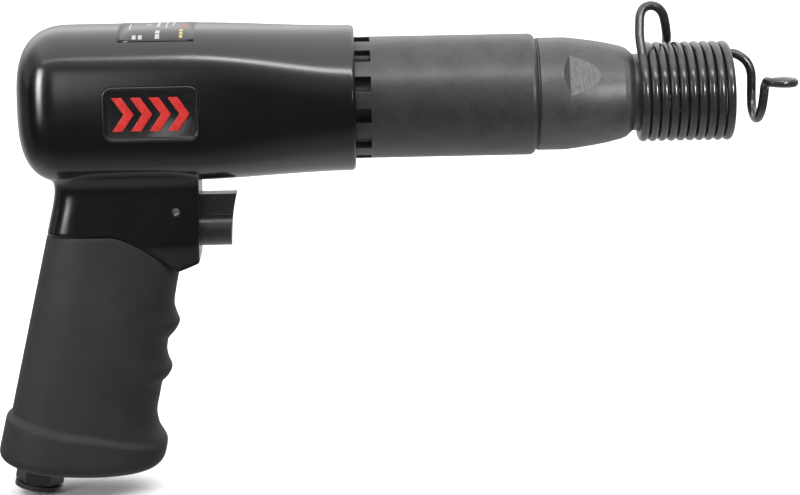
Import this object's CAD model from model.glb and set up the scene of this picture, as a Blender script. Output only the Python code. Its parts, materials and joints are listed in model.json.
import json
import math

import bmesh
import bpy
import numpy as np
from mathutils import Matrix, Vector

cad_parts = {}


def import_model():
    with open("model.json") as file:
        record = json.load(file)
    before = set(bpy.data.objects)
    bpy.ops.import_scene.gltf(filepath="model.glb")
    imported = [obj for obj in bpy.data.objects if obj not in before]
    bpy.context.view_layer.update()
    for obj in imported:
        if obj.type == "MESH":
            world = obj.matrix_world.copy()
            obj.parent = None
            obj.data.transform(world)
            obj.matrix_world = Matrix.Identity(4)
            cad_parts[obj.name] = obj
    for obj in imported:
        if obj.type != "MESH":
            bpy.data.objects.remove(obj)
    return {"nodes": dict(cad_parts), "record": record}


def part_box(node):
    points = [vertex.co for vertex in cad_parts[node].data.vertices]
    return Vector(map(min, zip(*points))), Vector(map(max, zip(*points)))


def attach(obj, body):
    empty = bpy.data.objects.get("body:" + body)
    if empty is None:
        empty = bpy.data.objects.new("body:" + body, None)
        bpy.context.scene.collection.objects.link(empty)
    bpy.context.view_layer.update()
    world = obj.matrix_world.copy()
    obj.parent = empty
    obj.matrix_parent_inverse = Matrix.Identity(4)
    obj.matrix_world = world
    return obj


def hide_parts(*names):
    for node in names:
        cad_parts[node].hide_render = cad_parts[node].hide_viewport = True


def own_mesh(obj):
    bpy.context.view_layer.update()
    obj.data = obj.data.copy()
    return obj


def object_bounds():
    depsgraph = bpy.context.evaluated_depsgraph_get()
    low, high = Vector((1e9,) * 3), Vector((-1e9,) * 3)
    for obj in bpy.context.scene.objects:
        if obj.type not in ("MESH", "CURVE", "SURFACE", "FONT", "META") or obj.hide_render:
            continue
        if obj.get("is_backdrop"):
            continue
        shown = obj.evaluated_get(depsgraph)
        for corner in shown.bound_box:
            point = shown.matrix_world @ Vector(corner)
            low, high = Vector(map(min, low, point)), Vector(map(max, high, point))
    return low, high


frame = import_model()
cad_low, cad_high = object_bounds()

# Looks of a pistol-grip pneumatic chipping hammer. Shapes are worked out in millimetres in the CAD's own
# working frame, whose x is 0 on the housing's front face. put() turns them into metres in the row's frame.

MM = 0.001
housing_low, housing_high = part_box("housing")
sleeve_low, sleeve_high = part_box("barrel_sleeve")
grip_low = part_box("rubber_grip")[0]
badge_low, badge_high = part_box("badge_plate")
label_low, label_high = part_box("rating_label")

FACE_X = housing_high.x                          # front face of the housing
SLEEVE_R = (sleeve_high.z - sleeve_low.z) / 2 / MM
BACK_H = housing_high.z / MM                     # half height of the housing's back section
BACK_W = housing_high.y / MM                     # half width of it


def put(points):
    """Working millimetres to metres in the row's frame."""
    out = np.array(points, float) * MM
    out[..., 0] += FACE_X
    return out


def working_x(row_x):
    return (row_x - FACE_X) / MM


# ---- Shape helpers ------------------------------------------------------------

def ease(t):
    c = np.clip(t, 0, 1)
    return c * c * (3 - 2 * c)


def mix(a, b, t):
    return a + (b - a) * t


def signed_pow(v, p):
    return np.sign(v) * np.abs(v) ** p


def smooth_line(points, v):
    """Monotone cubic line through [key, value] points with rising keys, at v."""
    keys, values = np.array(points, float).T
    step = np.diff(values) / np.diff(keys)
    slope = np.zeros(len(keys))
    same = step[:-1] * step[1:] > 0
    slope[1:-1][same] = 2 * step[:-1][same] * step[1:][same] / (step[:-1][same] + step[1:][same])
    slope[0], slope[-1] = step[0], step[-1]
    v = np.clip(v, keys[0], keys[-1])
    i = np.clip(np.searchsorted(keys, v) - 1, 0, len(keys) - 2)
    gap = keys[i + 1] - keys[i]
    t = (v - keys[i]) / gap
    return ((2 * t ** 3 - 3 * t ** 2 + 1) * values[i] + (t ** 3 - 2 * t ** 2 + t) * gap * slope[i]
            + (3 * t ** 2 - 2 * t ** 3) * values[i + 1] + (t ** 3 - t ** 2) * gap * slope[i + 1])


def straight_line(points, v):
    keys, values = np.array(points, float).T
    return np.interp(v, keys, values)


def smooth_path(points, steps):
    """Catmull-Rom curve through the points."""
    p = np.array(points, float)
    out = []
    for i in range(len(p) - 1):
        a, b, c, d = p[max(0, i - 1)], p[i], p[i + 1], p[min(len(p) - 1, i + 2)]
        for s in range(steps):
            t = s / steps
            out.append(0.5 * (2 * b + (c - a) * t + (2 * a - 5 * b + 4 * c - d) * t ** 2
                              + (3 * b - a - 3 * c + d) * t ** 3))
    return out


def mesh_object(name, vertices, faces, sharp_angle=35):
    """Smooth-shaded object from vertices in working millimetres. Edges above the angle stay sharp."""
    mesh = bpy.data.meshes.new(name)
    mesh.from_pydata([tuple(v) for v in put(vertices)], [], faces)
    mesh.validate()
    obj = bpy.data.objects.new(name, mesh)
    bpy.context.scene.collection.objects.link(obj)
    shade(obj, sharp_angle)
    return obj


def shade(obj, sharp_angle):
    mesh = obj.data
    mesh.polygons.foreach_set("use_smooth", [True] * len(mesh.polygons))
    mesh.set_sharp_from_angle(angle=math.radians(sharp_angle))
    mesh.update()


def skin(rings, cap_first=True):
    """Vertices and faces of a skin over rings of equal length, with its ends capped."""
    rings = [np.array(r, float) for r in rings]
    n = len(rings[0])
    count = len(rings)
    faces = []
    for i in range(count - 1):
        a, b = i * n, (i + 1) * n
        for j in range(n):
            k = (j + 1) % n
            faces.append((a + j, a + k, b + k, b + j))
    if cap_first:
        faces.append(tuple(range(n - 1, -1, -1)))
    faces.append(tuple(range((count - 1) * n, count * n)))
    return np.concatenate(rings), faces


def outward(obj):
    """Turns every face of a closed mesh to point outward."""
    bm = bmesh.new()
    bm.from_mesh(obj.data)
    bmesh.ops.recalc_face_normals(bm, faces=bm.faces)
    bm.to_mesh(obj.data)
    bm.free()


def solid(name, rings, sharp_angle=35, cap_first=True):
    """Smooth-shaded object whose skin runs over the rings."""
    obj = mesh_object(name, *skin(rings, cap_first), sharp_angle)
    outward(obj)
    return obj


def fit(obj, body, node):
    """Puts obj on a body, in place of a CAD node."""
    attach(obj, body)
    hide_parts(node)
    return obj


def cut(obj, cutters, sharp_angle):
    """Takes the cutters out of obj, then removes them."""
    for cutter in cutters:
        modifier = obj.modifiers.new("cut", "BOOLEAN")
        modifier.operation = "DIFFERENCE"
        modifier.solver = "EXACT"
        modifier.object = cutter
    graph = bpy.context.evaluated_depsgraph_get()
    mesh = bpy.data.meshes.new_from_object(obj.evaluated_get(graph))
    obj.modifiers.clear()
    obj.data = mesh
    for cutter in cutters:
        bpy.data.objects.remove(cutter)
    shade(obj, sharp_angle)


def rounded_rectangle(w, h, r, corner_steps=8):
    """Outline points (u, v) of a rounded rectangle round the origin."""
    out = []
    for cx, cy, start in ((1, 1, 0), (-1, 1, 90), (-1, -1, 180), (1, -1, 270)):
        for k in range(corner_steps + 1):
            a = math.radians(start + 90 * k / corner_steps)
            out.append((cx * (w / 2 - r) + r * math.cos(a), cy * (h / 2 - r) + r * math.sin(a)))
    return np.array(out)


# ---- Housing ------------------------------------------------------------------

HOUSING_LEN = 133.5
FRONT_R = BACK_W         # the front is round
BACK_SQUARE = 2.9        # power of the back section's superellipse
DOME_LEN = 23.0
DOME_POWER = 3.0
EDGE_R = 1.7             # rounding of the front edge
FLARE_LEN = 70.0         # the section changes over this length
MOUTH_DEPTH = 6.1
SHELL_SIDES = 240


def section_sizes(x, share=1.0, edge=0.0):
    """Half width, half height and squareness of the housing at x."""
    t = ease(-x / FLARE_LEN)
    w = mix(FRONT_R, BACK_W, t) * share - edge
    h = mix(FRONT_R, BACK_H, t) * share - edge
    return w, h, mix(2.0, BACK_SQUARE, t)


def housing_ring(x, angles, share=1.0, edge=0.0):
    w, h, square = section_sizes(x, share, edge)
    c = signed_pow(np.cos(angles), 2 / square)
    s = signed_pow(np.sin(angles), 2 / square)
    return np.stack([np.full(len(angles), x), w * c, h * s], 1)


def dome_share(x):
    u = np.clip((-x - HOUSING_LEN + DOME_LEN) / DOME_LEN, 0, 1)
    return (1 - u ** DOME_POWER) ** (1 / DOME_POWER)


def housing_under(x, y):
    """Height of the housing's underside at x, y."""
    w, h, square = section_sizes(x, dome_share(x))
    return -h * np.clip(1 - np.abs(y / w) ** square, 0, 1) ** (1 / square)


def housing_shell():
    """The domed barrel housing, with its rounded front edge and the mouth that takes the sleeve."""
    angles = np.linspace(0, 2 * math.pi, SHELL_SIDES, endpoint=False)
    mouth_r = SLEEVE_R + 0.1

    def round_ring(x, r):
        return np.stack([np.full(SHELL_SIDES, x), r * np.cos(angles), r * np.sin(angles)], 1)

    mouth = [(-MOUTH_DEPTH, -3), (-MOUTH_DEPTH, 0), (-0.4, 0), (-0.1, 0.1), (0.0, 0.4)]
    rings = [round_ring(x, mouth_r + out) for x, out in mouth]
    edge_steps = 8
    for k in range(edge_steps + 1):
        a = math.pi / 2 * k / edge_steps
        x = -EDGE_R * (1 - math.cos(a))
        rings.append(housing_ring(x, angles, edge=EDGE_R * (1 - math.sin(a))))
    body_steps = 84
    for k in range(1, body_steps + 1):
        rings.append(housing_ring(mix(-EDGE_R, -HOUSING_LEN + DOME_LEN, k / body_steps), angles))
    dome_steps = 40
    for k in range(1, dome_steps):
        a = math.pi / 2 * k / dome_steps
        u = math.sin(a) ** (2 / DOME_POWER)
        share = math.cos(a) ** (2 / DOME_POWER)
        rings.append(housing_ring(-HOUSING_LEN + DOME_LEN * (1 - u), angles, share))
    return solid("housing_shell", rings)


# Lines of the neck and the grip in the side view: [height, x]
NECK_BACK = [[-60, -126.1], [-49.4, -123.6], [-39.7, -121.3], [-36, -120.6], [-29, -120]]
CHIN_FRONT, CHIN_Z = -63.2, -63.7
CHIN_END_X, CHIN_END_Z = -72.1, -67.4
NECK_FRONT_TOP = -61.6
NECK_HALF_W = 18.0
NECK_OVER = 8.0          # the section is drawn this much too long, and cut flat at the front
NECK_SQUARE = 4.0
NECK_FILLET = 1.6
SEAM_MID, SEAM_TOP, SEAM_DROP = -98.5, -51.5, 15.9
FRONT_CORNER_R = 1.3
TAPER_Z, TAPER_SLOPE = -54.6, 0.47


def arch_z(x):
    """Height of the arched seam between the neck and the rubber."""
    return SEAM_TOP - SEAM_DROP * np.clip((x - SEAM_MID) / (CHIN_END_X - SEAM_MID), 0, 1) ** 1.56


def neck_bottom(x):
    chin = mix(CHIN_Z, CHIN_END_Z, (CHIN_FRONT - x) / (CHIN_FRONT - CHIN_END_X))
    return np.where(x > CHIN_END_X, chin, arch_z(x))


def neck_front(z):
    return mix(CHIN_FRONT, NECK_FRONT_TOP, (z - CHIN_Z) / -CHIN_Z)


def resample(points, count):
    """The polyline's points, spread evenly along it."""
    p = np.array(points, float)
    length = np.concatenate([[0], np.cumsum(np.linalg.norm(np.diff(p, axis=0), axis=1))])
    at = np.linspace(0, length[-1], count)
    return np.stack([np.interp(at, length, p[:, k]) for k in range(p.shape[1])], 1)


def neck_taper(z):
    """How much each side of the neck draws in below the trigger."""
    drop = max(0.0, TAPER_Z - z)
    return TAPER_SLOPE * drop ** 2 / (drop + 1)


def neck_outline(z, inset=0.0):
    """Section of the neck at height z as (x, y) points, starting in the middle of its flat front."""
    spread = 3.2 * ease((z + 35) / 9) ** 1.5 - neck_taper(z)
    back = straight_line(NECK_BACK, z) - max(spread, 0) * 0.5 + inset
    far = CHIN_FRONT + NECK_OVER
    half_w = NECK_HALF_W + spread - inset
    front = neck_front(z) - inset
    mid, half = (back + far) / 2, (far - back) / 2
    start = math.acos(((front - FRONT_CORNER_R - mid) / half) ** (NECK_SQUARE / 2))
    a = np.linspace(start, math.pi, 80)
    flank = np.stack([mid + half * signed_pow(np.cos(a), 2 / NECK_SQUARE),
                      half_w * np.sin(a) ** (2 / NECK_SQUARE)], 1)
    flank = resample(flank, 56)
    corner_y = flank[0][1]
    b = np.linspace(0, math.pi / 2, 7)[:-1]
    corner = np.stack([front - FRONT_CORNER_R * (1 - np.cos(b)),
                       corner_y - FRONT_CORNER_R * (1 - np.sin(b))], 1)
    face = np.stack([np.full(12, front), np.linspace(0, corner_y - FRONT_CORNER_R, 13)[:-1]], 1)
    half_outline = np.concatenate([face, corner, flank])
    mirrored = half_outline[-2:0:-1] * [1, -1]
    return np.concatenate([half_outline, mirrored])


def neck_ring(heights, inset=0.0):
    """Ring of the neck whose point j is at heights[j]."""
    table = np.array(heights, float)
    low, high = table.min(), table.max()
    levels = np.linspace(low, high, 9) if high - low > 0.01 else [low]
    outlines = np.array([neck_outline(z, inset) for z in levels])
    if len(levels) == 1:
        xy = outlines[0]
    else:
        at = (table - low) / (high - low) * (len(levels) - 1)
        i = np.clip(at.astype(int), 0, len(levels) - 2)
        t = (at - i)[:, None]
        j = np.arange(len(table))
        xy = outlines[i, j] * (1 - t) + outlines[i + 1, j] * t
    return np.column_stack([xy, table])


def settle(height_at, start=-50.0):
    """Ring of the neck that lies on the surface height_at(x, y)."""
    heights = np.full(len(neck_outline(start)), start)
    for _ in range(6):
        ring = neck_ring(heights)
        heights = height_at(ring[:, 0], ring[:, 1])
    return neck_ring(heights)


def ring_normals(ring):
    """Outward directions of a ring in the xy plane."""
    along = np.roll(ring, -1, 0)[:, :2] - np.roll(ring, 1, 0)[:, :2]
    n = np.stack([along[:, 1], -along[:, 0]], 1)
    return n / np.linalg.norm(n, axis=1)[:, None]


def neck():
    """The neck, from its fillet under the housing to the arched seam and the slanting chin."""
    corner = settle(housing_under, start=-30.0)
    wall_top = neck_ring(corner[:, 2] - NECK_FILLET)
    foot = corner.copy()
    foot[:, :2] += ring_normals(corner) * NECK_FILLET
    foot[:, 2] = housing_under(foot[:, 0], foot[:, 1]) + 0.03
    inner = neck_ring(np.full(len(corner), -24.0), 4.0)
    inner[:, 2] = -18.0
    rings = [inner, neck_ring(corner[:, 2] + 2, 1.0)]
    fillet_steps = 8
    for k in range(fillet_steps + 1):
        t = k / fillet_steps
        rings.append((1 - t) ** 2 * foot + 2 * t * (1 - t) * corner + t ** 2 * wall_top)
    bottom = settle(lambda x, y: neck_bottom(x))
    wall_steps = 22
    wall_end = bottom[:, 2] + 0.7
    for k in range(1, wall_steps + 1):
        rings.append(neck_ring(mix(wall_top[:, 2], wall_end, k / wall_steps)))
    # rounded lower edge and flat underside: inset, lift, and how far forward the ring reaches
    free = 0.0
    for inset, lift, reach in ((0.06, 0.38, free), (0.22, 0.14, free), (0.5, 0.0, free),
                               (3.0, 0.0, CHIN_END_X), (5.5, 0.0, -77)):
        ring = neck_ring(wall_end, inset)
        ring[:, 0] = np.minimum(ring[:, 0], reach)
        ring[:, 2] = neck_bottom(ring[:, 0]) + lift
        rings.append(ring)
    # end of the plug that reaches down into the rubber
    plug = neck_ring(bottom[:, 2], 7.5)
    plug[:, 0] = np.minimum(plug[:, 0], -80)
    plug[:, 2] = -76
    rings.append(plug)
    return solid("housing_neck", rings)


def bar_cutter(name, axis_z, radius, x0, x1):
    """Round bar along x, in the middle plane."""
    sides = 96
    a = np.linspace(0, 2 * math.pi, sides, endpoint=False)
    y, z = radius * np.cos(a), axis_z + radius * np.sin(a)
    return solid(name, [np.stack([np.full(sides, x), y, z], 1) for x in (x0, x1)])


def box_cutter(name, low, high):
    x0, y0, z0 = low
    x1, y1, z1 = high
    return solid(name, [[(x0, y0, z), (x1, y0, z), (x1, y1, z), (x0, y1, z)] for z in (z0, z1)])


def pin_cutter(name, at_x, at_z, radius):
    """Round bar along y."""
    sides = 48
    a = np.linspace(0, 2 * math.pi, sides, endpoint=False)
    x, z = at_x + radius * np.cos(a), at_z + radius * np.sin(a)
    return solid(name, [np.stack([x, np.full(sides, y), z], 1) for y in (-30, 30)])


THROTTLE_Z = -51.3
POCKET_R, POCKET_X = 7.55, (-84, -55)
WEB_HALF_W, WEB_TOP_Z = 4.75, -36.8
PIN_X, PIN_Z, PIN_HOLE_R = -71.7, -42.0, 1.75


def cut_trigger_pocket(obj):
    """The round pocket and the web slot that the trigger slides in, and the pin's hole."""
    back, front = POCKET_X
    cut(obj, [
        bar_cutter("pocket", THROTTLE_Z, POCKET_R, back, front),
        box_cutter("web_slot", (back, -WEB_HALF_W, THROTTLE_Z), (front, WEB_HALF_W, WEB_TOP_Z)),
        pin_cutter("pin_hole", PIN_X, PIN_Z, PIN_HOLE_R),
    ], 30)


BADGE_W = (badge_high.x - badge_low.x) / MM
BADGE_H = (badge_high.z - badge_low.z) / MM
BADGE_X = working_x((badge_low.x + badge_high.x) / 2)
BADGE_Z = (badge_low.z + badge_high.z) / 2 / MM
BADGE_R = 4.0
BADGE_TOP = badge_high.y / MM        # distance of the rim's top from the middle plane
BADGE_BACK = BADGE_TOP - 1.9


def badge_ring(side, w, h, r, depth):
    uv = rounded_rectangle(w, h, r)
    return np.stack([BADGE_X + uv[:, 0], np.full(len(uv), side * depth), BADGE_Z + uv[:, 1]], 1)


def badge_pocket(side):
    """Cutter a little larger than the plate, so that the plate sits in the housing with a thin gap."""
    sizes = (BADGE_W + 0.2, BADGE_H + 0.2, BADGE_R + 0.1)
    return solid("badge_pocket", [badge_ring(side, *sizes, depth) for depth in (BADGE_BACK, BADGE_BACK + 8)])


def build_housing():
    shell = housing_shell()
    cut(shell, [badge_pocket(-1), badge_pocket(1)], 30)
    handle = neck()
    cut_trigger_pocket(handle)
    return [fit(shell, "root", "housing"), fit(handle, "root", "housing")]


# ---- Rubber grip ---------------------------------------------------------------

GRIP_BACK = [[-150, -148], [-50, -123.9]]
GRIP_FRONT = [
    [-150, -81.2], [-147, -80.7], [-139.2, -79.2], [-132.1, -82.3], [-127.4, -83.05], [-119.5, -81.6],
    [-113.9, -80.2], [-111.2, -77.6], [-108.3, -76.25], [-105, -77.4], [-101.4, -78.1], [-96.6, -77.4],
    [-92.5, -74.1], [-89.4, -72.6], [-86.3, -73.6], [-82.2, -74.5], [-76, -73.6], [-68, -72.1], [-60, -71.6]
]
GRIP_FACE = [[-150, -83.3], [-68, -73.3]]       # front line without the finger ridges
GRIP_SQUARE = 2.5
BASE_Z = grip_low.z / MM
BAND_T = 1.8             # the base band stands out this much
HEM_R = 5.0              # rounding of the lower edge
LIP_IN = 4.6
SEAM_GAP = 0.25
GRIP_SIDES = 200


def grip_half_w(z):
    return mix(18.6, 19.0, ease((-55 - z) / 30)) + 1.2 * ease((-120 - z) / 25)


def band_z(angles):
    """Upper edge of the base band, which slants down to the front."""
    return -131.5 - 7.4 * np.cos(angles)


def base_height(angles):
    """Underside of the grip: raised at the back, lowest just in front of its middle."""
    c = np.cos(angles)
    return BASE_Z - 0.8 - 2.2 * c + 2.6 * c ** 2


def grip_outline(z, angles, inset):
    """Points of the grip's outer face at heights z, moved in by inset."""
    reach = signed_pow(np.cos(angles), 2 / GRIP_SQUARE)
    out = BAND_T * ease((band_z(angles) - z) / 2.5)
    back = straight_line(GRIP_BACK, z) + inset - out
    front = straight_line(GRIP_FACE, z) - inset
    ridge = smooth_line(GRIP_FRONT, z) - straight_line(GRIP_FACE, z)
    half_w = grip_half_w(z) + out - inset
    x = (front + back) / 2 + (front - back) / 2 * reach + ridge * ease((reach - 0.35) / 0.6)
    y = half_w * signed_pow(np.sin(angles), 2 / GRIP_SQUARE)
    return np.stack([x, y, z], 1)


def grip_seam(angles, inset):
    """Heights of the arched seam on the grip's outer face."""
    z = np.full(len(angles), -56.0)
    for _ in range(4):
        z = arch_z(grip_outline(z, angles, inset)[:, 0])
    return z


def build_grip():
    """Rubber sleeve with finger ridges, a raised base band and a rounded hem that turns in under the core."""
    angles = np.linspace(0, 2 * math.pi, GRIP_SIDES, endpoint=False)
    edge_drop = 0.62
    rings = []
    # top edge, from the inside over a small rounding to the outer face
    for inset, drop in ((3.0, 0.0), (0.75, 0.0), (0.5, 0.03), (0.25, 0.14), (0.08, 0.34), (0.0, edge_drop)):
        ring = grip_outline(grip_seam(angles, inset), angles, inset)
        ring[:, 2] -= SEAM_GAP + drop
        rings.append(ring)
    top = grip_seam(angles, 0.0) - SEAM_GAP - edge_drop
    base = base_height(angles)
    wall_rings = 110
    for k in range(1, wall_rings + 1):
        z = mix(top, base + HEM_R, k / wall_rings)
        rings.append(grip_outline(z, angles, 0.0))
    hem_rings = 18
    hem_turn = math.radians(84)
    for k in range(1, hem_rings + 1):
        u = math.sin(hem_turn * k / hem_rings) / math.sin(hem_turn)
        inset = min(LIP_IN, HEM_R * (1 - math.sqrt(1 - min(1.0, u * u))))
        rings.append(grip_outline(base + HEM_R * (1 - u), angles, inset))
    for inset, lift in ((LIP_IN + 0.35, 0.1), (LIP_IN + 0.5, 0.45), (LIP_IN + 0.5, 3.0)):
        rings.append(grip_outline(base + lift, angles, inset))
    return fit(solid("grip_sleeve", rings, 60, cap_first=False), "root", "rubber_grip")


# ---- Badge ----------------------------------------------------------------------

def build_badge(side, name):
    """Plate with a rounded raised rim and a sunk floor."""
    rim = 1.1
    depth = 0.8
    steps = [
        (0.0, BADGE_BACK), (0.0, BADGE_TOP - 0.3), (0.09, BADGE_TOP - 0.09), (0.3, BADGE_TOP),
        (rim - 0.3, BADGE_TOP), (rim - 0.09, BADGE_TOP - 0.09), (rim, BADGE_TOP - 0.3),
        (rim + 0.1, BADGE_TOP - depth + 0.1), (rim + 0.25, BADGE_TOP - depth)
    ]
    rings = [badge_ring(side, BADGE_W - 2 * i, BADGE_H - 2 * i, BADGE_R - i, d) for i, d in steps]
    return fit(solid(name, rings, 50), "root", "badge_plate")


CHEVRON_STEP, CHEVRON_STROKE, CHEVRON_REACH, CHEVRON_HALF = 7.2, 4.0, 4.6, 6.6
CHEVRON_COUNT = 4
CHEVRON_TOP = 0.7


def chevron_outline(offset):
    s, r, h = CHEVRON_STROKE / 2, CHEVRON_REACH, CHEVRON_HALF
    points = [(-s, -h), (s, -h), (s + r, 0), (s, h), (-s, h), (-s + r, 0)]
    return [(BADGE_X + offset - r / 2 + u, BADGE_Z + v) for u, v in points]


def build_inlay(side, name):
    """Four raised chevrons with bevelled edges. The bevels take the second material."""
    bm = bmesh.new()
    floor = BADGE_TOP - 0.85
    for k in range(CHEVRON_COUNT):
        outline = chevron_outline((k - (CHEVRON_COUNT - 1) / 2) * CHEVRON_STEP)
        low = [bm.verts.new(put([x, side * floor, z])) for x, z in outline]
        high = [bm.verts.new(put([x, side * (floor + CHEVRON_TOP), z])) for x, z in outline]
        bm.faces.new(low)
        bm.faces.new(high)
        for i in range(len(outline)):
            j = (i + 1) % len(outline)
            wall = bm.faces.new((low[i], low[j], high[j], high[i]))
            wall.material_index = 1
    bmesh.ops.recalc_face_normals(bm, faces=bm.faces)
    rims = [e for e in bm.edges if len({f.material_index for f in e.link_faces}) == 2
            and abs(e.verts[0].co.y) > (floor + CHEVRON_TOP / 2) * MM]
    bmesh.ops.bevel(bm, geom=rims, offset=0.32 * MM, segments=4, affect="EDGES", profile=0.6, material=1)
    mesh = bpy.data.meshes.new(name)
    bm.to_mesh(mesh)
    bm.free()
    obj = bpy.data.objects.new(name, mesh)
    bpy.context.scene.collection.objects.link(obj)
    shade(obj, 28)
    return fit(obj, "root", "badge_inlay")


# ---- Label ----------------------------------------------------------------------

LABEL_X0, LABEL_X1 = working_x(label_low.x), working_x(label_high.x)
LABEL_LOW = 50.0         # the label's edge, in degrees round the housing
FILM_LIFT, FILM_THICK, INK_LIFT = 0.09, 0.06, 0.14


def patch(x0, x1, a0, a1, lift, steps):
    """Curved patch that lies lift above the housing, between two x and two angles in degrees."""
    angles = np.radians(np.linspace(a0, a1, steps + 1))
    rows = []
    for x in np.linspace(x0, x1, 5):
        w, h, square = section_sizes(x)
        rows.append(np.stack([
            np.full(steps + 1, x),
            (w + lift) * signed_pow(np.cos(angles), 2 / square),
            (h + lift) * signed_pow(np.sin(angles), 2 / square)], 1))
    n = steps + 1
    faces = [(i * n + j, i * n + j + 1, (i + 1) * n + j + 1, (i + 1) * n + j)
             for i in range(len(rows) - 1) for j in range(steps)]
    return np.concatenate(rows), faces


def build_label():
    """Printed film over the housing's top."""
    film = mesh_object("label_film", *patch(LABEL_X0, LABEL_X1, LABEL_LOW, 180 - LABEL_LOW, FILM_LIFT, 24))
    thickness = film.modifiers.new("thickness", "SOLIDIFY")
    thickness.thickness = FILM_THICK * MM
    thickness.offset = 0
    return fit(film, "root", "rating_label")


INK_ROWS = {
    # x of the row, then (lowest angle, highest angle, width) of each bar
    "ink_white": [
        (-85.6, [(120.5, 126.8, 1.5)]), (-83.2, [(120.5, 126.8, 1.5)]),
        (-76.6, [(112, 118, 1.7), (119.2, 126.5, 1.7), (88, 103, 1.2), (64, 80, 1.2)]),
        (-80.4, [(94, 97, 2.2), (60, 88, 0.7)]),
        (-87.6, [(92, 109, 0.6), (60, 86, 0.6)]), (-73.4, [(84, 106, 0.6), (58, 78, 0.6)]),
        (-70.8, [(84, 100, 0.6), (58, 72, 0.6)]),
    ],
    "ink_yellow": [(-67.4, [(110, 114.5, 1.3), (115.4, 119.4, 1.3), (120.4, 125.5, 1.3)])],
    "ink_red": [(-66.2, [(98.5, 103.5, 2.6)]), (-65.0, [(62, 84, 1.4)])],
}


def build_ink(name, rows):
    """Blank printed bars of one colour."""
    vertices, faces = [], []
    for x, bars in rows:
        for a0, a1, width in bars:
            v, f = patch(x - width / 2, x + width / 2, a0, a1, INK_LIFT, 8)
            base = sum(len(part) for part in vertices)
            faces += [tuple(i + base for i in face) for face in f]
            vertices.append(v)
    return fit(mesh_object(name, np.concatenate(vertices), faces), "root", "rating_label")


# ---- Retainer spring --------------------------------------------------------------

WIRE_R = 1.85
HELIX_R = 18.2           # from the axis to the middle of the wire
COIL_X = 114.8           # x of the coil at angle 0
PITCH = 3.76
FIRST_ANGLE, LAST_ANGLE = 52, -3450
LOOP_POINTS = [
    [126.9, 11.7, 19.1], [126.6, 8.5, 21], [126, 6, 23.6], [125.1, 3.6, 27.4], [123.9, 1.9, 31],
    [121.7, 0.8, 33.6], [118.7, 0, 34.5], [115.8, -1.3, 33.6], [114.3, -2.8, 31.2], [113.8, -4.4, 28],
    [113.5, -7.2, 22.2]
]
HOOK_POINTS = [
    [151.8, 13.2, 12.8], [154.2, 11.7, 13.6], [157.2, 11.2, 12.3], [159.8, 11, 9.9], [161.4, 11, 6.2],
    [161.7, 11, 1.5], [161.6, 10.3, -4], [161.5, 7.6, -9], [161.7, 1.5, -11.6], [161.9, -4.6, -10.3],
    [162.3, -8.7, -6.4], [162.8, -9.9, -1.2], [163.1, -10.3, 2.4]
]
RING_MID = np.array([168.4, -14.6, 4.4])
RING_R = 5.3


def coil_point(degrees):
    a = math.radians(degrees)
    return [COIL_X - PITCH * degrees / 360, -HELIX_R * math.cos(a), HELIX_R * math.sin(a)]


def ring_point(degrees, rise):
    a = math.radians(degrees)
    return RING_MID + [-RING_R * math.cos(a), -RING_R * math.sin(a), rise]


def sweep(path, radii, sides):
    """Rings of a round wire along the path, with a radius for each of its points."""
    p = np.array(path, float)
    direction = np.gradient(p, axis=0)
    direction /= np.linalg.norm(direction, axis=1)[:, None]
    side = np.cross(direction[0], [0.31, 0.2, 0.93])
    rings = []
    a = np.linspace(0, 2 * math.pi, sides, endpoint=False)
    for point, d, r in zip(p, direction, radii):
        side = side - side.dot(d) * d
        side /= np.linalg.norm(side)
        other = np.cross(d, side)
        rings.append(point + r * (np.cos(a)[:, None] * side + np.sin(a)[:, None] * other))
    return rings


def build_spring():
    """One wire: the finger loop, the coil, the hook and the finger ring."""
    turn_steps = 72
    first = coil_point(FIRST_ANGLE)
    second = coil_point(FIRST_ANGLE - 15)
    steps = round((FIRST_ANGLE - LAST_ANGLE) / 360 * turn_steps)
    coil = [coil_point(mix(FIRST_ANGLE, LAST_ANGLE, i / steps)) for i in range(steps + 1)]
    before = coil_point(LAST_ANGLE + 15)
    ring = [ring_point(k, 0.5 - k / 300) for k in range(0, 304, 6)]
    ring_next = ring_point(20, 0.43)
    density = 12
    start = smooth_path(LOOP_POINTS + [first, second], density)[:-density]
    hook = smooth_path([before, coil[-1]] + HOOK_POINTS + [ring[0], ring_next], density)[density + 1:-density]
    path = np.array(start + coil + hook + ring, float)
    shortest = 0.05
    keep = np.concatenate([[True], np.linalg.norm(np.diff(path, axis=0), axis=1) > shortest])
    path = path[keep]
    for _ in range(2):
        path[1:-1] = path[1:-1] * 0.5 + (path[:-2] + path[2:]) * 0.25
    radii = np.full(len(path), WIRE_R)
    radii[0] = radii[-1] = WIRE_R * 0.86          # the ends are dressed
    return fit(solid("spring_wire", sweep(path, radii, 24), 50), "retainer", "retainer_spring")


# ---- Throttle spring ----------------------------------------------------------------

THROTTLE_WIRE_R, THROTTLE_TURNS, THROTTLE_TRAVEL = 0.45, 4, 7.0


def build_throttle_spring():
    """Return spring of the throttle valve. It shortens towards its rear end as the valve moves back."""
    low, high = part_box("throttle_spring")
    centre = (low + high) / 2
    coil_r = (high.z - low.z) / 2 / MM - THROTTLE_WIRE_R
    front, back = working_x(high.x) - THROTTLE_WIRE_R, working_x(low.x) + THROTTLE_WIRE_R
    steps = 24 * THROTTLE_TURNS
    path = []
    for i in range(steps + 1):
        a = 2 * math.pi * THROTTLE_TURNS * i / steps
        y, z = centre.y / MM + coil_r * math.cos(a), centre.z / MM + coil_r * math.sin(a)
        path.append([mix(front, back, i / steps), y, z])
    rings = sweep(path, [THROTTLE_WIRE_R] * len(path), 12)
    obj = fit(solid("throttle_coil", rings, 50), "root", "throttle_spring")
    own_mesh(obj)
    return obj


# ---- Materials ----------------------------------------------------------------------

OXIDE_METALLIC = 0.7


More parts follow.
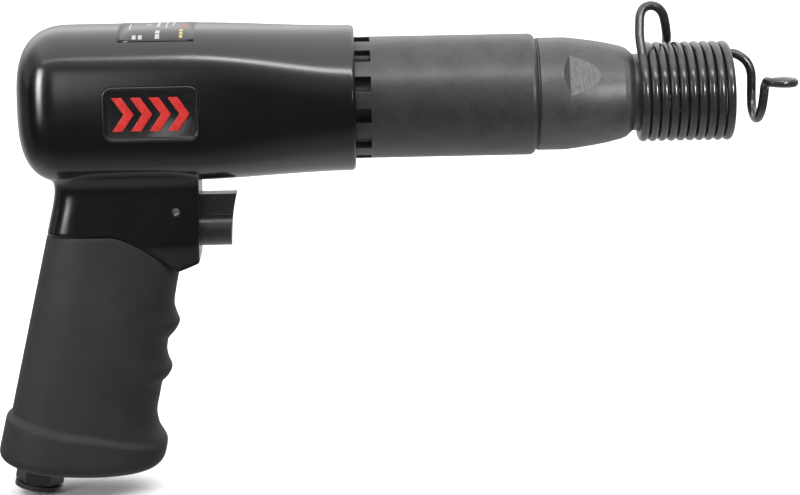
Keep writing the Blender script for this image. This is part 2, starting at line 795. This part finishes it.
class Shader:
    """Small helper that builds one procedural material on a Principled shader."""

    def __init__(self, name):
        self.material = bpy.data.materials.new(name)
        self.material.use_nodes = True
        self.tree = self.material.node_tree
        self.principled = next(n for n in self.tree.nodes if n.type == "BSDF_PRINCIPLED")
        coords = self.node("ShaderNodeTexCoord")
        self.object_mm = self.scaled(coords.outputs["Object"], (1000, 1000, 1000))

    def node(self, kind, **settings):
        made = self.tree.nodes.new(kind)
        for key, value in settings.items():
            setattr(made, key, value)
        return made

    def link(self, a, b):
        self.tree.links.new(a, b)

    def scaled(self, vector, scale):
        made = self.node("ShaderNodeMapping")
        made.inputs["Scale"].default_value = scale
        self.link(vector, made.inputs["Vector"])
        return made.outputs["Vector"]

    def noise(self, per_mm, detail=3.0, roughness=0.55, stretch=(1, 1, 1)):
        made = self.node("ShaderNodeTexNoise")
        made.inputs["Scale"].default_value = per_mm
        made.inputs["Detail"].default_value = detail
        made.inputs["Roughness"].default_value = roughness
        self.link(self.scaled(self.object_mm, stretch), made.inputs["Vector"])
        return made.outputs["Fac"]

    def cells(self, per_mm):
        made = self.node("ShaderNodeTexVoronoi", feature="F1")
        made.inputs["Scale"].default_value = per_mm
        self.link(self.object_mm, made.inputs["Vector"])
        return made.outputs["Distance"]

    def remap(self, value, low, high, to_low=0.0, to_high=1.0):
        made = self.node("ShaderNodeMapRange", clamp=True)
        made.inputs["From Min"].default_value = low
        made.inputs["From Max"].default_value = high
        made.inputs["To Min"].default_value = to_low
        made.inputs["To Max"].default_value = to_high
        self.link(value, made.inputs["Value"])
        return made.outputs["Result"]

    def math(self, operation, a, b):
        made = self.node("ShaderNodeMath", operation=operation)
        for socket, value in zip(made.inputs, (a, b)):
            if isinstance(value, (int, float)):
                socket.default_value = value
            else:
                self.link(value, socket)
        return made.outputs["Value"]

    def blend(self, factor, a, b):
        """Mix of two colours, each a tuple or a socket."""
        made = self.node("ShaderNodeMix", data_type="RGBA")
        sockets = [s for s in made.inputs if s.type == "RGBA"]
        self.link(factor, made.inputs["Factor"])
        for socket, value in zip(sockets, (a, b)):
            if isinstance(value, tuple):
                socket.default_value = (*value, 1)
            else:
                self.link(value, socket)
        return next(s for s in made.outputs if s.type == "RGBA")

    def bump(self, height, depth_mm, strength=1.0, normal=None):
        made = self.node("ShaderNodeBump")
        made.inputs["Strength"].default_value = strength
        made.inputs["Distance"].default_value = depth_mm * MM
        self.link(height, made.inputs["Height"])
        if normal is not None:
            self.link(normal, made.inputs["Normal"])
        return made.outputs["Normal"]

    def soft_edges(self, radius_mm):
        """Normals rounded over the radius at sharp edges, and a mask of those edges."""
        made = self.node("ShaderNodeBevel", samples=6)
        made.inputs["Radius"].default_value = radius_mm * MM
        geometry = self.node("ShaderNodeNewGeometry")
        dot = self.node("ShaderNodeVectorMath", operation="DOT_PRODUCT")
        self.link(made.outputs["Normal"], dot.inputs[0])
        self.link(geometry.outputs["Normal"], dot.inputs[1])
        edge = self.remap(dot.outputs["Value"], 0.995, 0.85)
        return made.outputs["Normal"], edge

    def finish(self, **inputs):
        for name, value in inputs.items():
            socket = self.principled.inputs[name.replace("_", " ")]
            if isinstance(value, (int, float)):
                socket.default_value = value
            elif isinstance(value, tuple):
                socket.default_value = (*value, 1)
            else:
                self.link(value, socket)
        return self.material


def painted_housing():
    """Semi-gloss black paint over a casting: faint orange peel, cloudy gloss, thin rubbed edges."""
    s = Shader("painted_housing")
    cloud = s.noise(0.045, detail=4)
    peel = s.noise(1.6, detail=2)
    fine = s.noise(7.0, detail=2)
    normal, edge = s.soft_edges(0.35)
    normal = s.bump(peel, 0.010, normal=normal)
    normal = s.bump(fine, 0.003, normal=normal)
    paint = s.blend(s.remap(cloud, 0.3, 0.7), (0.0018, 0.0018, 0.0020), (0.0032, 0.0032, 0.0034))
    colour = s.blend(s.math("MULTIPLY", edge, 0.35), paint, (0.06, 0.06, 0.06))
    rough = s.remap(cloud, 0.3, 0.7, 0.155, 0.20)
    return s.finish(Base_Color=colour, Roughness=rough, Normal=normal, Specular_IOR_Level=0.55)


def grip_rubber():
    """Moulded rubber with a fine leathery grain and a few pale specks."""
    s = Shader("grip_rubber")
    cloud = s.noise(0.07, detail=5)
    grain = s.noise(2.6, detail=5, roughness=0.65)
    pores = s.cells(1.5)
    specks = s.remap(s.noise(1.1, detail=2), 0.74, 0.80)
    colour = s.blend(s.remap(cloud, 0.3, 0.7), (0.0085, 0.0085, 0.0088), (0.0125, 0.0125, 0.0128))
    colour = s.blend(s.math("MULTIPLY", specks, 0.5), colour, (0.04, 0.04, 0.04))
    normal = s.bump(grain, 0.05, 0.9)
    normal = s.bump(pores, 0.025, 0.6, normal)
    rough = s.remap(grain, 0.3, 0.7, 0.58, 0.72)
    return s.finish(Base_Color=colour, Roughness=rough, Normal=normal, Specular_IOR_Level=0.36)


def gloss_black():
    """Glossy black moulding with soft edges and a faint moulding texture."""
    s = Shader("gloss_black")
    haze = s.noise(0.3, detail=4)
    grain = s.noise(4.0, detail=3)
    normal, edge = s.soft_edges(0.3)
    normal = s.bump(grain, 0.004, normal=normal)
    colour = s.blend(s.math("MULTIPLY", edge, 0.3), (0.016, 0.016, 0.0165), (0.07, 0.07, 0.07))
    rough = s.remap(haze, 0.3, 0.7, 0.24, 0.36)
    return s.finish(Base_Color=colour, Roughness=rough, Normal=normal)


def badge_black():
    """Glossy badge plate whose floor carries a fine stipple."""
    s = Shader("badge_black")
    stipple = s.noise(5.0, detail=2)
    haze = s.noise(0.4, detail=3)
    normal = s.bump(stipple, 0.012)
    rough = s.remap(haze, 0.3, 0.7, 0.12, 0.22)
    colour = s.blend(s.remap(haze, 0.35, 0.65), (0.004, 0.004, 0.0045), (0.008, 0.008, 0.0085))
    return s.finish(Base_Color=colour, Roughness=rough, Normal=normal, Coat_Weight=0.3, Coat_Roughness=0.08)


def red_inlay():
    """Glossy red enamel with slight thickness changes."""
    s = Shader("red_inlay")
    cloud = s.noise(0.35, detail=4)
    colour = s.blend(s.remap(cloud, 0.3, 0.7), (0.32, 0.009, 0.007), (0.38, 0.014, 0.010))
    normal = s.bump(s.noise(3.0, detail=2), 0.006)
    return s.finish(Base_Color=colour, Roughness=s.remap(cloud, 0.3, 0.7, 0.22, 0.34), Normal=normal)


def label_film():
    """Satin black printed film."""
    s = Shader("label_film")
    cloud = s.noise(0.15, detail=3)
    colour = s.blend(s.remap(cloud, 0.3, 0.7), (0.0026, 0.0026, 0.0028), (0.0044, 0.0044, 0.0046))
    normal = s.bump(s.noise(3.5, detail=2), 0.004)
    return s.finish(Base_Color=colour, Roughness=s.remap(cloud, 0.3, 0.7, 0.18, 0.23), Normal=normal)


def ink(name, colour):
    """Screen-printed ink with small gaps in its edge."""
    s = Shader(name)
    worn = s.remap(s.noise(2.2, detail=4), 0.62, 0.72)
    dark = tuple(c * 0.35 for c in colour)
    shown = s.blend(s.math("MULTIPLY", worn, 0.6), colour, dark)
    return s.finish(Base_Color=shown, Roughness=s.remap(worn, 0, 1, 0.45, 0.6))


def turned_steel(name, dark, light, rough_low, rough_high, grain_depth):
    """Turned metal: fine rings round X, cloudy patches and rubbed edges."""
    s = Shader(name)
    rings = s.noise(1.0, detail=3, stretch=(9.0, 0.12, 0.12))
    fine_rings = s.noise(1.0, detail=2, stretch=(34.0, 0.5, 0.5))
    cloud = s.noise(0.09, detail=5, roughness=0.6)
    mottle = s.noise(0.8, detail=4, roughness=0.7)
    normal, edge = s.soft_edges(0.25)
    normal = s.bump(rings, grain_depth, normal=normal)
    normal = s.bump(fine_rings, grain_depth * 0.5, normal=normal)
    patches = s.math("ADD", s.math("MULTIPLY", cloud, 0.6), s.math("MULTIPLY", mottle, 0.4))
    colour = s.blend(s.remap(patches, 0.38, 0.62), dark, light)
    colour = s.blend(s.math("MULTIPLY", edge, 0.5), colour, tuple(c * 3 for c in light))
    rough = s.remap(s.math("ADD", s.math("MULTIPLY", rings, 0.5), s.math("MULTIPLY", mottle, 0.5)),
                    0.3, 0.7, rough_low, rough_high)
    return s, normal, colour, rough


def black_oxide_steel():
    """Oxide-blackened turned steel of the sleeve and the inlet."""
    s, normal, colour, rough = turned_steel(
        "black_oxide_steel", (0.042, 0.042, 0.043), (0.060, 0.060, 0.061), 0.36, 0.44, 0.004)
    return s.finish(Base_Color=colour, Roughness=rough, Normal=normal, Metallic=OXIDE_METALLIC)


FLAT_ANGLE = math.radians(26)        # the wrench flats' tilt, up from the sides
FLAT_X = (81.2, 101.2)
FLAT_COS = 0.9993                    # how squarely a face has to point to count as a flat


def nose_steel():
    """Blackened nose with a sandy grain, and milled wrench flats that are paler and rougher."""
    s, normal, colour, rough = turned_steel(
        "nose_steel", (0.050, 0.050, 0.051), (0.076, 0.076, 0.077), 0.38, 0.48, 0.004)
    sand = s.noise(3.2, detail=4, roughness=0.7)
    normal = s.bump(sand, 0.018, 0.8, normal)
    geometry = s.node("ShaderNodeNewGeometry")
    facing = s.node("ShaderNodeVectorMath", operation="DOT_PRODUCT")
    facing.inputs[1].default_value = (0, -math.cos(FLAT_ANGLE), math.sin(FLAT_ANGLE))
    s.link(geometry.outputs["True Normal"], facing.inputs[0])
    on_flat = s.math("GREATER_THAN", s.math("ABSOLUTE", facing.outputs["Value"], 0.0), FLAT_COS)
    split = s.node("ShaderNodeSeparateXYZ")
    s.link(s.object_mm, split.inputs[0])
    low, high = ((FACE_X / MM) + x for x in FLAT_X)
    inside = s.math("MULTIPLY", s.math("GREATER_THAN", split.outputs["X"], low),
                    s.math("LESS_THAN", split.outputs["X"], high))
    flat = s.math("MULTIPLY", on_flat, inside)
    marks = s.noise(1.0, detail=3, stretch=(2.2, 0.35, 0.35))
    milled = s.blend(s.remap(marks, 0.35, 0.65), (0.085, 0.085, 0.087), (0.13, 0.13, 0.132))
    colour = s.blend(flat, colour, milled)
    rough = s.math("ADD", rough, s.math("MULTIPLY", flat, 0.16))
    return s.finish(Base_Color=colour, Roughness=rough, Normal=normal, Metallic=OXIDE_METALLIC)


def ground_steel():
    """Bright ground steel of the moving parts inside."""
    s, normal, colour, rough = turned_steel(
        "ground_steel", (0.46, 0.46, 0.47), (0.60, 0.60, 0.62), 0.18, 0.30, 0.003)
    return s.finish(Base_Color=colour, Roughness=rough, Normal=normal, Metallic=1.0)


def spring_wire():
    """Oil-blackened spring wire, drawn smooth, with slight scale marks."""
    s = Shader("spring_wire")
    cloud = s.noise(0.25, detail=5, roughness=0.65)
    scale = s.noise(2.4, detail=4, roughness=0.7)
    colour = s.blend(s.remap(cloud, 0.3, 0.7), (0.046, 0.046, 0.047), (0.070, 0.070, 0.071))
    colour = s.blend(s.remap(scale, 0.66, 0.76, 0, 0.5), colour, (0.13, 0.13, 0.13))
    normal = s.bump(scale, 0.010)
    rough = s.remap(cloud, 0.3, 0.7, 0.17, 0.27)
    return s.finish(Base_Color=colour, Roughness=rough, Normal=normal, Metallic=0.8)


def throttle_brass():
    """Turned brass of the throttle bushing and the valve head."""
    s, normal, _, rough = turned_steel(
        "throttle_brass", (0.5, 0.36, 0.14), (0.6, 0.42, 0.18), 0.2, 0.32, 0.003)
    colour = s.blend(s.remap(s.noise(0.2), 0.3, 0.7), (0.58, 0.40, 0.15), (0.68, 0.49, 0.20))
    return s.finish(Base_Color=colour, Roughness=rough, Normal=normal, Metallic=1.0)


def seal_rubber():
    """Dull black rubber of the rings and seals."""
    s = Shader("seal_rubber")
    cloud = s.noise(0.4, detail=4)
    normal = s.bump(s.noise(5.0, detail=3), 0.008)
    colour = s.blend(s.remap(cloud, 0.3, 0.7), (0.006, 0.006, 0.006), (0.012, 0.012, 0.012))
    return s.finish(Base_Color=colour, Roughness=s.remap(cloud, 0.3, 0.7, 0.4, 0.55), Normal=normal)


def paint_all(made):
    """Gives every piece and every CAD node the finish of its slot in the record."""
    finishes = {
        "painted_housing": painted_housing(), "grip_rubber": grip_rubber(), "gloss_black": gloss_black(),
        "red_inlay": red_inlay(), "label_film": label_film(), "black_oxide_steel": black_oxide_steel(),
        "nose_steel": nose_steel(), "ground_steel": ground_steel(), "spring_wire": spring_wire(),
        "throttle_brass": throttle_brass(), "seal_rubber": seal_rubber(),
    }
    plate = badge_black()            # the badge plate, and the bevels of its inlay
    for part in frame["record"]["subparts"]:
        node = frame["nodes"][part["node"]]
        node.data.materials.clear()
        node.data.materials.append(finishes[part["material_slot"]])
    for slot_name, objs in made.items():
        for obj in objs:
            obj.data.materials.clear()
            obj.data.materials.append(finishes[slot_name])
    for obj in made["gloss_black"]:
        obj.data.materials[0] = plate
    for obj in made["red_inlay"]:
        obj.data.materials.append(plate)


INKS = {"ink_white": (0.32, 0.32, 0.31), "ink_yellow": (0.36, 0.29, 0.09), "ink_red": (0.32, 0.05, 0.04)}


def build_pieces():
    made = {
        "painted_housing": build_housing(),
        "grip_rubber": [build_grip()],
        "gloss_black": [build_badge(-1, "badge_near"), build_badge(1, "badge_far")],
        "red_inlay": [build_inlay(-1, "inlay_near"), build_inlay(1, "inlay_far")],
        "label_film": [build_label()],
        "spring_wire": [build_spring()],
        "ground_steel": [build_throttle_spring()],
    }
    paint_all(made)
    for name, rows in INK_ROWS.items():
        obj = build_ink(name, rows)
        obj.data.materials.append(ink(name, INKS[name]))


# ---- Studio ---------------------------------------------------------------------------

CAMERA_AT = (-0.1378, -0.9158, 0.1068)
CAMERA_TILT, CAMERA_TURN, CAMERA_ROLL = 10.4, 1.94, 0.92        # degrees down, to the right, and clockwise
CAMERA_LENS, CAMERA_SENSOR = 103.5, 36


def camera():
    """A long lens a little above the barrel, turned slightly."""
    tilt, turn, roll = (math.radians(angle) for angle in (CAMERA_TILT, CAMERA_TURN, CAMERA_ROLL))
    look = Vector((math.sin(turn) * math.cos(tilt), math.cos(turn) * math.cos(tilt), -math.sin(tilt)))
    right = Vector((math.cos(turn), -math.sin(turn), 0))
    up = right.cross(look)
    tilted_right = right * math.cos(roll) - up * math.sin(roll)
    tilted_up = right * math.sin(roll) + up * math.cos(roll)
    data = bpy.data.cameras.new("camera")
    data.lens = CAMERA_LENS
    data.sensor_width = CAMERA_SENSOR
    data.clip_start, data.clip_end = 0.05, 50
    obj = bpy.data.objects.new("camera", data)
    bpy.context.scene.collection.objects.link(obj)
    matrix = Matrix((tilted_right, tilted_up, -look)).transposed().to_4x4()
    matrix.translation = Vector(CAMERA_AT)
    obj.matrix_world = matrix
    bpy.context.scene.camera = obj


# angle from the camera's side, up being positive, and brightness
SKY = [
    (-180, 0.6), (-150, 0.75), (-100, 0.95), (-72, 0.5), (-35, 0.10), (6, 0.12), (22, 0.45), (44, 0.9),
    (62, 2.2), (95, 2.5), (145, 2.3), (180, 0.6)
]
SKY_SCALE = 3.0          # the ramp's colours are brightness divided by this
END_STRENGTH = 0.9


def world():
    """Plain soft studio: white behind, bright above, dark on the camera's side, paler below."""
    made = bpy.data.worlds.new("studio")
    bpy.context.scene.world = made
    made.use_nodes = True
    tree = made.node_tree
    tree.nodes.clear()

    def node(kind, **settings):
        n = tree.nodes.new(kind)
        for key, value in settings.items():
            setattr(n, key, value)
        return n

    def math_node(operation, a, b):
        n = node("ShaderNodeMath", operation=operation)
        for socket, value in zip(n.inputs, (a, b)):
            if isinstance(value, (int, float)):
                socket.default_value = value
            else:
                tree.links.new(value, socket)
        return n.outputs[0]

    coords = node("ShaderNodeTexCoord")
    split = node("ShaderNodeSeparateXYZ")
    tree.links.new(coords.outputs["Generated"], split.inputs[0])
    forward = math_node("MULTIPLY", split.outputs["Y"], -1.0)
    # share of a full turn round X: 0 below-behind, up through the camera side, to 1
    turn = math_node("ARCTAN2", split.outputs["Z"], forward)
    share = math_node("ADD", math_node("DIVIDE", turn, 2 * math.pi), 0.5)
    ramp = node("ShaderNodeValToRGB")
    tree.links.new(share, ramp.inputs[0])
    ramp.color_ramp.interpolation = "EASE"
    elements = ramp.color_ramp.elements
    while len(elements) > 1:
        elements.remove(elements[-1])
    for i, (angle, level) in enumerate(SKY):
        at = angle / 360 + 0.5
        e = elements[0] if i == 0 else elements.new(at)
        e.position = at
        e.color = (level / SKY_SCALE, level / SKY_SCALE, level / SKY_SCALE, 1)
    soft = node("ShaderNodeBackground")
    tree.links.new(ramp.outputs["Color"], soft.inputs["Color"])
    # the ends of the room are darker than its walls
    ends = node("ShaderNodeMapRange", interpolation_type="SMOOTHSTEP")
    tree.links.new(math_node("ABSOLUTE", split.outputs["X"], 0.0), ends.inputs["Value"])
    for name, value in (("From Min", 0.55), ("From Max", 0.9),
                        ("To Min", SKY_SCALE), ("To Max", END_STRENGTH)):
        ends.inputs[name].default_value = value
    tree.links.new(ends.outputs["Result"], soft.inputs["Strength"])
    plain = node("ShaderNodeBackground")
    plain.inputs["Color"].default_value = (1, 1, 1, 1)
    path = node("ShaderNodeLightPath")
    choose = node("ShaderNodeMixShader")
    tree.links.new(path.outputs["Is Camera Ray"], choose.inputs["Fac"])
    tree.links.new(soft.outputs[0], choose.inputs[1])
    tree.links.new(plain.outputs[0], choose.inputs[2])
    out = node("ShaderNodeOutputWorld")
    tree.links.new(choose.outputs[0], out.inputs["Surface"])


def area_light(name, centre, target, width, height, watts):
    data = bpy.data.lights.new(name, "AREA")
    data.shape = "RECTANGLE"
    data.size, data.size_y = width, height
    data.energy = watts
    obj = bpy.data.objects.new(name, data)
    bpy.context.scene.collection.objects.link(obj)
    obj.location = centre
    obj.rotation_euler = (Vector(target) - Vector(centre)).to_track_quat("-Z", "Y").to_euler()
    obj.visible_camera = False
    obj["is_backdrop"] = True
    return obj


STRIP_LIFT = math.radians(48)
STRIP_AWAY, STRIP_HEIGHT = 1.6, 0.11


def lights():
    """A long strip above the camera, and small boxes beside it."""
    middle = Vector(((cad_low.x + cad_high.x) / 2, 0, 0))
    above = Vector((0, -math.cos(STRIP_LIFT), math.sin(STRIP_LIFT))) * STRIP_AWAY
    # the left part is dimmer, so that the streak fades before the dome
    for name, start, end, watts_per_metre in (("strip", -0.17, 1.3, 8.3), ("left_strip", -1.3, -0.17, 1.7)):
        centre = middle + Vector(((start + end) / 2, 0, 0))
        area_light(name, centre + above, centre, end - start, STRIP_HEIGHT, watts_per_metre * (end - start))
    # small boxes that light only the dome, its flank and the nose:
    # name, target, way to the light, width, height, watts, spread in degrees
    dome = Vector((housing_low.x + 0.02, 0, 0))
    nose = Vector((-0.005, 0, 0))
    for name, target, way, width, height, watts, spread in (
            ("dome_box", dome, (-0.355, -0.345, 0.09), 0.12, 0.29, 0.19, 50),
            ("flank_box", dome, (-0.12, -0.70, 0.13), 0.18, 0.38, 0.035, 50),
            ("nose_box", nose, (0.235, -0.43, 0.09), 0.10, 0.09, 0.045, 26)):
        light = area_light(name, target + Vector(way), target, width, height, watts)
        light.data.spread = math.radians(spread)


def floor():
    """Plain pale floor just under the tool."""
    half, gap = 3.0, 0.0005
    z = min(cad_low.z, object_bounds()[0].z) - gap
    corners = [(-half, -half, z), (half, -half, z), (half, half, z), (-half, half, z)]
    mesh = bpy.data.meshes.new("floor")
    mesh.from_pydata(corners, [], [(0, 1, 2, 3)])
    obj = bpy.data.objects.new("floor", mesh)
    bpy.context.scene.collection.objects.link(obj)
    s = Shader("floor")
    cloud = s.noise(0.004, detail=2)
    colour = s.blend(cloud, (0.86, 0.86, 0.86), (0.90, 0.90, 0.90))
    mesh.materials.append(s.finish(Base_Color=colour, Roughness=0.9, Specular_IOR_Level=0.1))
    obj.visible_glossy = False
    obj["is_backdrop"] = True


build_pieces()
camera()
world()
lights()
floor()
bpy.context.scene.view_settings.view_transform = "Standard"
